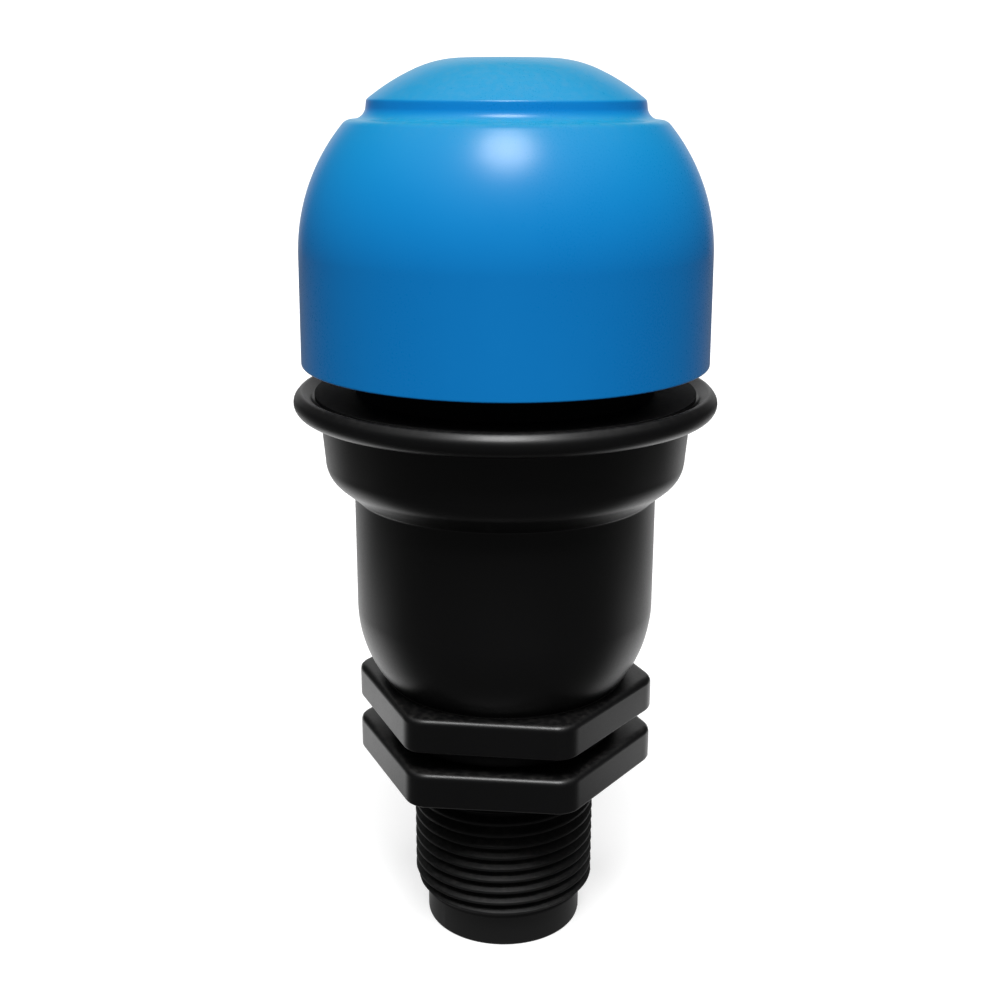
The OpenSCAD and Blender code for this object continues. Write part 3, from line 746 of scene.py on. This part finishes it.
@dataclass
class DomeCap:
    """Blue cap: flared skirt, dome, ledge and stepped crown, with a threaded sleeve and gussets inside."""

    edge_r: float = 27.66
    skirt_h: float = 14.3
    widest_r: float = 27.53
    dome_offset: float = 1.69
    ledge_h: float = 17.4
    ledge_turn_r: float = 1.6
    crown_r: float = 29.1
    crown_edge_r: float = 18.15
    crown_foot_r: float = 18.25
    crown_turn_r: float = 15.7
    crown_flat_r: float = 5.5
    crown_step: float = 2.45
    foot_fillet_r: float = 1.7
    wall: float = 2.2
    sleeve_r: float = 18.0
    sleeve_in_r: float = 14.85
    sleeve_gap: float = 1.26
    neck_h: float = 8.6
    crown_in_r: float = 15.95
    ring_gap: float = 0.03
    mouth_edge: float = 0.1
    relief_h: float = 0.5
    relief_taper: float = 0.2
    thread_step: float = 0.15
    groove_depth: float = 0.8
    groove_pitch: float = 3.0
    groove_crest: float = 1.0
    groove_foot: float = 1.924
    groove_fade: float = 1.0
    gussets: int = 6
    gusset: Point3 = (3.0, 1.6, 6.0)
    sink: float = 0.2
    gate_r: float = 2.1
    gate_slope: float = 0.25
    gate_depth: float = 0.18
    edge_blend: float = 0.3

    def heights(self) -> tuple[float, float, float, float, float]:
        """Works out the cap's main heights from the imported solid.

        Returns:
            Lower edge, widest turn, ledge, centre of the crown's arc and flat top.
        """
        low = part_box("dome_cap")[0][2] / MM
        equator = low + self.skirt_h
        ledge = equator + self.ledge_h
        crown = ledge + self.crown_step - sqrt(self.crown_r ** 2 - self.crown_edge_r ** 2)
        rise = sqrt((self.crown_r - self.crown_turn_r) ** 2 - self.crown_flat_r ** 2)
        return low, equator, ledge, crown, crown + self.crown_turn_r + rise

    def outside(self) -> list[Point]:
        """Draws the cap's outside from the middle of the top down to the skirt's edge.

        Returns:
            The points of the outside.
        """
        low, equator, ledge, crown, top = self.heights()
        dome_r = self.widest_r - self.dome_offset
        turn = degrees(asin((self.ledge_h - self.ledge_turn_r) / (dome_r - self.ledge_turn_r)))
        ledge_x = self.dome_offset + (dome_r - self.ledge_turn_r) * cos(radians(turn))
        flat = degrees(acos(self.crown_flat_r / (self.crown_r - self.crown_turn_r)))
        edge = degrees(acos(self.crown_edge_r / self.crown_r))
        fillet = self.foot_fillet_r
        gate = top - self.gate_depth
        points = [(0.0, gate), (self.gate_r - self.gate_slope, gate), (self.gate_r, top)]
        points += arc(self.crown_flat_r, top - self.crown_turn_r, self.crown_turn_r, 90.0, flat)
        points += arc(0.0, crown, self.crown_r, flat, edge)
        points += arc(self.crown_foot_r + fillet, ledge + fillet, fillet, 180.0, 270.0, 12)
        points += arc(ledge_x, ledge - self.ledge_turn_r, self.ledge_turn_r, 90.0, turn, 12)
        return points + arc(self.dome_offset, equator, dome_r, turn, 0.0, 48) + [(self.edge_r, low)]

    def inside(self) -> list[Point]:
        """Draws the inside of the skirt and dome, up to the mouth of the sleeve.

        Returns:
            The points of the inside.
        """
        low, equator, ledge, _, _ = self.heights()
        in_r = self.widest_r - self.dome_offset - self.wall
        roof = ledge - self.wall
        mouth = self.mouth()
        lean = degrees(asin((roof - equator) / in_r))
        points = [(self.edge_r - self.wall, low)] + arc(self.dome_offset, equator, in_r, 0.0, lean)
        return points + [(self.sleeve_r, roof), (self.sleeve_r, mouth), (self.sleeve_in_r, mouth)]

    def mouth(self) -> float:
        """Gives the height of the sleeve's mouth, over the ring on which the cap tightens."""
        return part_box("cap_ring")[1][2] / MM + self.ring_gap

    def relief(self) -> float:
        """Gives the height at which the sleeve's thread runs out."""
        return self.mouth() - self.sleeve_gap + self.neck_h + self.relief_h

    def bore(self) -> list[Point]:
        """Draws the sleeve's threaded bore and the hollow of the crown above it.

        Returns:
            The points from the sleeve's mouth to the axis.
        """
        _, _, _, crown, top = self.heights()
        relief = self.relief()
        in_r = self.crown_r - self.wall
        edge = degrees(acos(self.crown_in_r / in_r))
        flat = degrees(asin((top - self.wall - crown) / in_r))
        steps = np.arange(self.mouth() + self.mouth_edge, relief, self.thread_step)
        turns = [(self.sleeve_in_r, float(z)) for z in steps]
        hollow = [(self.crown_in_r, relief + self.relief_taper)] + arc(0.0, crown, in_r, edge, flat, 16)
        return turns + hollow + [(0.0, top - self.wall)]

    def build(self, finish: MouldedPlastic) -> None:
        """Makes and dresses the cap.

        Args:
            finish: The cap's plastic.
        """
        roof = self.heights()[2] - self.wall
        low, high = self.mouth() - self.groove_fade, self.relief() + self.relief_taper
        grooves = Thread(low, high, self.groove_depth, self.groove_pitch, self.groove_crest,
                         self.groove_foot, self.groove_fade)
        cap = Moulding("dome_cap_skin", columns=288, threads=(grooves,))
        shell = softened(self.outside() + self.inside(), self.edge_blend)
        cap.rows += [Row(r, z, plain=True) for r, z in shell]
        cap.extend(self.bore())
        length, width, height = self.gusset
        reach, span = (self.sleeve_r + length, self.sleeve_r - self.sink), (roof - height, roof + self.sink)
        for i in range(self.gussets):
            cap.rib(360.0 * i / self.gussets, reach, span, width)
        seat(cap.build(), Body.CAP, "dome_cap", finish.material())


@dataclass
class ValveBody:
    """Black body: hexagon, round-bottomed bowl, sloping shoulder, cup and round-lipped flange."""

    hex_h: float = 5.0
    bowl_r: float = 20.95
    bowl_foot_r: float = 17.0
    foot_edge: float = 0.25
    bowl_round_r: float = 17.5
    bowl_straight_h: float = 16.3
    bowl_wall: float = 2.2
    cup_low_r: float = 24.8
    cup_top_r: float = 25.3
    cup_round_r: float = 3.7
    cup_h: float = 6.55
    root_r: float = 0.8
    shoulder: float = 40.0
    lip_r: float = 1.57
    lip_slope: float = 42.0
    lip_flat: float = 0.45
    lip_top_r: float = 0.7
    lip_in: float = 1.0
    flange_r: float = 28.9
    dish: float = 0.9
    cup_bore_r: float = 22.6
    cup_floor: float = 69.459
    floor: float = 42.9
    throat_r: float = 11.5
    socket_r: float = 14.65
    socket_h: float = 7.0
    socket_edge: float = 0.3
    ribs: int = 6
    rib_depth: float = 1.7
    rib_w: float = 1.6
    rib_sink: float = 0.2
    edge_blend: float = 0.3

    def heights(self) -> tuple[float, float, float, float, float]:
        """Works out the body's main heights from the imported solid.

        Returns:
            Hexagon's underside, bowl's foot, arc centre, shoulder and the cup's arc centre.
        """
        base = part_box("valve_body")[0][2] / MM
        foot = base + self.hex_h
        arc_x = self.bowl_r - self.bowl_round_r
        bowl = foot + sqrt(self.bowl_round_r ** 2 - (self.bowl_foot_r - arc_x) ** 2)
        shoulder = bowl + self.bowl_straight_h
        slope = radians(self.shoulder)
        out = self.cup_low_r - self.cup_round_r + self.cup_round_r * sin(slope)
        cup = shoulder + (out - self.bowl_r) * tan(slope) + self.cup_round_r * cos(slope)
        return base, foot, bowl, shoulder, cup

    def outside(self) -> list[Point]:
        """Draws the body from the bowl's foot up to the flange and its dish.

        Returns:
            The points of the outside.
        """
        _, foot, bowl, shoulder, cup = self.heights()
        arc_x = self.bowl_r - self.bowl_round_r
        lean = degrees(asin((bowl - foot) / self.bowl_round_r))
        flange = cup + self.cup_h
        lip_x = self.flange_r - self.lip_r
        root = self.root_r
        points = arc(arc_x, bowl, self.bowl_round_r, -lean, 0.0, 40) + [(self.bowl_r, shoulder)]
        cup_x = self.cup_low_r - self.cup_round_r
        points += arc(cup_x, cup, self.cup_round_r, self.shoulder - 90.0, 0.0, 20)
        points += arc(self.cup_top_r + root, flange - root, root, 180.0, 90.0, 10)
        points += arc(lip_x, flange + self.lip_r, self.lip_r, -90.0, self.lip_slope, 20)
        slope = radians(self.lip_slope)
        out, up = cos(slope), sin(slope)
        ridge_x = points[-1][0] - self.lip_flat * up - self.lip_top_r * out
        ridge_z = points[-1][1] + self.lip_flat * out - self.lip_top_r * up
        points += arc(ridge_x, ridge_z, self.lip_top_r, self.lip_slope, 90.0, 8)
        top = flange + 2 * self.lip_r - self.dish
        return points + [(lip_x - self.lip_in, top), (self.cup_bore_r, top)]

    def inside(self) -> list[Point]:
        """Draws the body's inside from the cup's floor down to the hexagon's underside.

        Returns:
            The points of the inside.
        """
        base, _, bowl, _, _ = self.heights()
        in_round = self.bowl_round_r - self.bowl_wall
        in_r = self.bowl_r - self.bowl_wall
        lean = degrees(asin((bowl - self.floor) / in_round))
        points = [(self.cup_bore_r, self.cup_floor), (in_r, self.cup_floor)]
        points += arc(self.bowl_r - self.bowl_round_r, bowl, in_round, 0.0, -lean, 20)
        socket = base + self.socket_h
        points += [(self.throat_r, self.floor), (self.throat_r, socket), (self.socket_r, socket)]
        return points + [(self.socket_r, base)]

    def build(self, finish: MouldedPlastic) -> None:
        """Makes and dresses the body.

        Args:
            finish: The body's plastic.
        """
        base, _, bowl, shoulder, _ = self.heights()
        body = Moulding("valve_body_skin", columns=300, seam_height=0.05)
        body.rows += hex_rows(base, self.hex_h, self.socket_r + self.socket_edge,
                              self.bowl_foot_r + self.foot_edge)
        body.extend(softened(self.outside() + self.inside(), self.edge_blend))
        wall = self.bowl_r - self.bowl_wall
        reach = (wall - self.rib_depth, wall + self.rib_sink)
        for i in range(self.ribs):
            body.rib(360.0 * (i + 0.5) / self.ribs, reach, (bowl, shoulder), self.rib_w)
        seat(body.build(), Body.BODY, "valve_body", finish.material())


def hex_rows(base: float, height: float, low_r: float, high_r: float) -> list[Row]:
    """Makes the rings of a hexagon with round edges.

    Args:
        base: Height of its underside.
        height: Its thickness.
        low_r: Radius at which the underside ends.
        high_r: Radius at which the top ends.

    Returns:
        The rings from the underside's inner end to the top's inner end.
    """
    under, over = HEX_EDGES
    top = base + height
    turns = np.linspace(0.0, pi / 2, HEX_EDGE_STEPS + 1)
    rows = [Row(low_r, base), Row(HEX_R, base, Section.HEX, under + HEX_FACE_MARGIN)]
    for z, r, order in ((base, under, turns), (top, -over, turns[::-1])):
        rows += [Row(HEX_R, z + r * (1 - cos(t)), Section.HEX, abs(r) * (1 - sin(t))) for t in order]
    return rows + [Row(HEX_R, top, Section.HEX, over + HEX_FACE_MARGIN), Row(high_r, top)]


@dataclass
class InletNipple:
    """Black inlet: plain pilot, helical pipe thread, collar, hexagon and the spigot inside the body."""

    pilot_r: float = 11.4
    pilot_h: float = 4.9
    pilot_edge_r: float = 0.5
    pilot_shoulder: Point = (0.15, 0.02)
    thread_r: float = 13.22
    thread_depth: float = 1.16
    thread_pitch: float = 1.814
    thread_h: float = 18.3
    thread_start: float = 133.0
    thread_fade: float = 1.6
    thread_crest: float = 0.36
    thread_flank: float = 27.5
    thread_run_out: float = 0.2
    thread_step: float = 0.1
    collar_h: float = 2.6
    collar_start: float = 0.01
    collar_edge: float = 0.35
    collar_blend: float = 0.2
    hex_h: float = 5.1
    hex_root: float = 0.2
    clocking: float = 0.9
    gap: float = 3.0
    relief_r: float = 13.7
    spigot_r: float = 14.1
    spigot_h: float = 6.97
    spigot_edge: float = 0.1
    spigot_blend: float = 0.15
    bore_r: float = 9.0
    bore_join: Point = (2.0, 2.2)

    def pipe_thread(self) -> Thread:
        """Works out the pipe thread's form.

        Returns:
            The thread.
        """
        foot = self.thread_crest + 2 * self.thread_depth * tan(radians(self.thread_flank))
        end = self.pilot_h + self.thread_h + self.thread_run_out
        return Thread(self.pilot_h, end, self.thread_depth, self.thread_pitch, self.thread_crest, foot,
                      self.thread_fade, self.thread_start)

    def build(self, finish: MouldedPlastic) -> None:
        """Makes and dresses the nipple.

        Args:
            finish: The nipple's plastic.
        """
        core = self.thread_r - self.thread_depth
        collar = self.pilot_h + self.thread_h
        hex_low = collar + self.collar_h
        hex_top = hex_low + self.hex_h
        shoulder = hex_top + self.gap
        top = shoulder + self.spigot_h
        nipple = Moulding("inlet_nipple_skin", columns=300, hexagon=Hexagon(turn=self.clocking),
                          threads=(self.pipe_thread(),), seam_height=0.04)
        low, high = self.bore_join
        drop, drop_in = self.pilot_shoulder
        end = [(self.bore_r, low), (self.bore_r, 0.0), (self.pilot_r, 0.0),
               (self.pilot_r, self.pilot_h - drop), (core, self.pilot_h - drop_in)]
        nipple.extend(softened(end, self.pilot_edge_r))
        nipple.extend([(core, float(z)) for z in np.arange(self.pilot_h, collar, self.thread_step)])
        neck = [(core, collar + self.collar_start), (self.thread_r, collar + self.collar_edge),
                (self.thread_r, hex_low)]
        nipple.extend(softened(neck, self.collar_blend))
        nipple.rows += hex_rows(hex_low, self.hex_h, self.thread_r + self.hex_root,
                                self.relief_r + self.hex_root)
        spigot = [(self.relief_r, hex_top), (self.relief_r, shoulder),
                  (self.spigot_r, shoulder + self.spigot_edge), (self.spigot_r, top),
                  (self.bore_r, top), (self.bore_r, high)]
        nipple.extend(softened(spigot, self.spigot_blend))
        seat(nipple.build(), Body.BODY, "inlet_nipple", finish.material())


@dataclass
class WorkingParts:
    """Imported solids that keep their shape: seals, bonnet, screen, shutter, lever and float."""

    smooth_angle: float = 32.0
    weld: float = 0.002
    finishes: dict[Slot, tuple[str, ...]] = field(default_factory=lambda: {
        Slot.RUBBER: ("nipple_o_ring", "body_gasket", "seat_seal", "cap_ring", "nozzle_button"),
        Slot.GREY: ("bonnet", "float_baffle", "insect_screen", "shutter_disc"),
        Slot.WHITE: ("guide_bush", "float_lever", "float_shell", "float_lid"),
        Slot.STEEL: ("guide_stem", "stem_clip", "air_nozzle", "lever_pin", "link_pin"),
    })

    def shading(self) -> bpy.types.NodeTree:
        """Builds the modifier that joins the solids' faces and shades their round stretches smooth.

        Returns:
            The modifier's node group.
        """
        group = bpy.data.node_groups.new("smooth_rounds", "GeometryNodeTree")
        for way in ("INPUT", "OUTPUT"):
            group.interface.new_socket("Geometry", in_out=way, socket_type="NodeSocketGeometry")
        nodes, links = group.nodes, group.links
        source, result = nodes.new("NodeGroupInput"), nodes.new("NodeGroupOutput")
        clear = nodes.new("GeometryNodeRemoveAttribute")
        clear.inputs["Name"].default_value = "custom_normal"
        join = nodes.new("GeometryNodeMergeByDistance")
        join.inputs["Distance"].default_value = self.weld * MM
        faces, edges = nodes.new("GeometryNodeSetShadeSmooth"), nodes.new("GeometryNodeSetShadeSmooth")
        edges.domain = "EDGE"
        angle = nodes.new("GeometryNodeInputMeshEdgeAngle")
        gentle = nodes.new("FunctionNodeCompare")
        gentle.data_type, gentle.operation = "FLOAT", "LESS_EQUAL"
        gentle.inputs["B"].default_value = radians(self.smooth_angle)
        links.new(angle.outputs["Unsigned Angle"], gentle.inputs["A"])
        links.new(gentle.outputs["Result"], edges.inputs["Shade Smooth"])
        chain = (source, clear, join, faces, edges, result)
        for before, after in zip(chain, chain[1:]):
            links.new(before.outputs[0], after.inputs[0])
        return group

    def dress(self, materials: dict[Slot, bpy.types.Material]) -> None:
        """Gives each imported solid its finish.

        Args:
            materials: The finish of each slot.
        """
        shading = self.shading()
        for slot, names in self.finishes.items():
            for name in names:
                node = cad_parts[name]
                node.data.materials.clear()
                node.data.materials.append(materials[slot])
                node.modifiers.new("smooth_rounds", "NODES").node_group = shading
                LOG.info("%s: packed solid in %s", name, materials[slot].name)


@dataclass
class Studio:
    """Pale sweep, soft overhead light and the camera at the photograph's angle."""

    focal_mm: float = 50.11
    sensor_mm: float = 36.0
    azimuth: float = 6.6
    pitch: float = 16.58
    roll: float = 0.17
    camera_place: Point3 = (-0.69, -187.79, 120.39)
    clip: Point = (0.005, 200.0)
    columns: int = 96
    sweep_start_r: float = 0.02
    sweep_flat_r: float = 1.6
    sweep_turn_r: float = 3.0
    sweep_top: float = 9.0
    sweep_glow: float = 0.7
    paper: tuple[Colour, Colour] = ((0.44, 0.44, 0.44), (0.46, 0.46, 0.46))
    paper_cloud: float = 400.0
    paper_roughness: float = 0.9
    paper_specular: float = 0.05
    sun_strength: float = 3.2
    sun_elevation: float = 66.0
    sun_spread: float = 23.0
    dim: float = 0.05
    overhead: float = 0.8
    overhead_axis: Point3 = (0.0, -0.12, 0.99)
    overhead_span: Point = (0.5, 0.95)
    backdrop_glow: float = 0.75
    backdrop_axis: Point3 = (0.0, 1.0, 0.12)
    backdrop_span: Point = (0.8, 0.98)
    table_r: float = 0.9
    table_dim: float = 0.09
    foot_glow: float = 0.2
    foot_r: Point = (0.02, 0.032)
    pool_glow: float = 1.35
    pool_near: Point = (0.0, 0.075)
    pool_far: Point = (0.095, 0.175)
    pool_sides: Point = (-0.1, 0.4)
    far_glow: float = 0.85
    far_near: Point = (0.08, 0.16)
    far_sides: Point = (0.4, 0.85)
    far_end: Point = (0.27, 0.36)
    far_rest: float = 0.2

    def camera(self) -> None:
        """Sets up the camera."""
        data = bpy.data.cameras.new("camera")
        data.lens, data.sensor_width = self.focal_mm, self.sensor_mm
        data.clip_start, data.clip_end = self.clip
        eye = bpy.data.objects.new("camera", data)
        turn = Matrix.Rotation(radians(self.azimuth), 4, "Z")
        place = turn @ Vector([v * MM for v in self.camera_place])
        aim = turn @ Matrix.Rotation(radians(90.0 - self.pitch), 4, "X")
        level = Matrix.Rotation(radians(self.roll), 4, "Z")
        eye.matrix_world = Matrix.Translation(place) @ aim @ level
        bpy.context.scene.collection.objects.link(eye)
        bpy.context.scene.camera = eye

    def laid(self, name: str, outline: list[Point]) -> bpy.types.Object:
        """Turns an outline about the axis into a sheet with a closed middle.

        Args:
            name: The sheet's name.
            outline: Radius and height of its rings in metres, from the middle out.

        Returns:
            The new object, linked to the scene.
        """
        count = self.columns
        turns = np.linspace(0.0, 2 * pi, count, endpoint=False)
        points = [(r * cos(t), r * sin(t), z) for r, z in outline for t in turns]
        faces = [tuple(range(count))]
        for low in range(0, count * (len(outline) - 1), count):
            high = low + count
            for i in range(count):
                j = (i + 1) % count
                faces.append((low + i, high + i, high + j, low + j))
        mesh = bpy.data.meshes.new(name)
        mesh.from_pydata(points, [], faces)
        mesh.shade_smooth()
        sheet = bpy.data.objects.new(name, mesh)
        bpy.context.scene.collection.objects.link(sheet)
        sheet.visible_diffuse = sheet.visible_transmission = sheet.visible_shadow = False
        return sheet

    def sweep(self) -> None:
        """Lays the pale floor, which turns up into a backdrop far away and keeps out of the reflections."""
        outline = [(self.sweep_start_r, UNDER), (self.sweep_flat_r, UNDER)]
        outline += arc(self.sweep_flat_r, self.sweep_turn_r, self.sweep_turn_r, -90.0, 0.0, 24)
        outline += [(self.sweep_flat_r + self.sweep_turn_r, self.sweep_top)]
        sweep = self.laid("sweep", outline)
        sweep.visible_glossy = False
        g = Graph("pale_paper")
        g.put("Base Color", g.tint(g.noise(self.paper_cloud), *self.paper))
        g.put("Roughness", self.paper_roughness)
        g.put("Specular IOR Level", self.paper_specular)
        g.put("Emission Color", WHITE)
        g.put("Emission Strength", self.sweep_glow)
        sweep.data.materials.append(g.material)

    def table(self) -> None:
        """Lays the pool of light on the table, behind and beside the valve, that edges its black plastic.

        Only reflections see it. It glows faintly at the valve's foot and fades far away.
        """
        pool = self.laid("table_pool", [(self.table_r, UNDER)])
        pool.visible_camera = False
        g = Graph("table_light")
        away = g.vector(Op.LENGTH, g.place)
        back = Matrix.Rotation(radians(self.azimuth), 3, "Z") @ Vector((0.0, 1.0, 0.0))
        behind = g.math(Op.OVER, g.vector(Op.DOT, g.place, back), away)
        near = g.math(Op.TIMES, g.remap(away, *self.pool_near),
                      g.remap(away, *self.pool_far, self.pool_glow, 0.0), g.remap(behind, *self.pool_sides))
        far = g.math(Op.TIMES, g.remap(away, *self.far_near, 0.0, self.far_glow),
                     g.remap(behind, *self.far_sides), g.remap(away, *self.far_end, 1.0, self.far_rest))
        close = g.remap(away, *self.foot_r, self.table_dim + self.foot_glow, self.table_dim)
        g.put("Emission Strength", g.math(Op.ADD, near, far, close))
        g.put("Base Color", BLACK)
        g.put("Specular IOR Level", 0.0)
        g.put("Emission Color", WHITE)
        pool.data.materials.append(g.material)

    def lights(self) -> None:
        """Hangs the soft overhead light, a little in front of the valve."""
        sun = bpy.data.lights.new("overhead", "SUN")
        sun.energy, sun.angle = self.sun_strength, radians(self.sun_spread)
        lamp = bpy.data.objects.new("overhead", sun)
        lean = radians(90.0 - self.sun_elevation)
        lamp.rotation_euler = (lean, 0.0, radians(self.azimuth))
        bpy.context.scene.collection.objects.link(lamp)

    def surround(self) -> None:
        """Sets a dim room with a bright ceiling and a bright wall behind."""
        world = bpy.data.worlds.new("studio")
        room = Wiring(world, "Generated")
        turn = Matrix.Rotation(radians(self.azimuth), 3, "Z")
        panels = ((self.backdrop_axis, self.backdrop_span, self.backdrop_glow),
                  (self.overhead_axis, self.overhead_span, self.overhead))
        glows = []
        for towards, span, strength in panels:
            facing = room.vector(Op.DOT, room.place, turn @ Vector(towards))
            glows.append(room.remap(facing, *span, self.dim / 2, strength, smooth=True))
        back = room.add("Background", {"Color": WHITE, "Strength": room.math(Op.ADD, *glows)})
        room.add("OutputWorld", {"Surface": back.outputs["Background"]})
        bpy.context.scene.world = world

    def build(self) -> None:
        """Sets up the whole studio."""
        self.camera()
        self.sweep()
        self.table()
        self.lights()
        self.surround()
        bpy.context.scene.view_settings.view_transform = "Standard"


def main() -> None:
    """Builds and dresses the valve, piece by piece."""
    logging.basicConfig(level=logging.INFO, format="%(name)s: %(message)s")
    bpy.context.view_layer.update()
    finishes = Finishes()
    Studio().build()
    DomeCap().build(finishes.blue)
    ValveBody().build(finishes.black)
    InletNipple().build(finishes.inlet)
    WorkingParts().dress({
        Slot.RUBBER: finishes.rubber.material(),
        Slot.GREY: finishes.grey.material(),
        Slot.WHITE: finishes.white.material(),
        Slot.STEEL: finishes.steel.material(),
    })


if __name__ == "__main__":
    main()
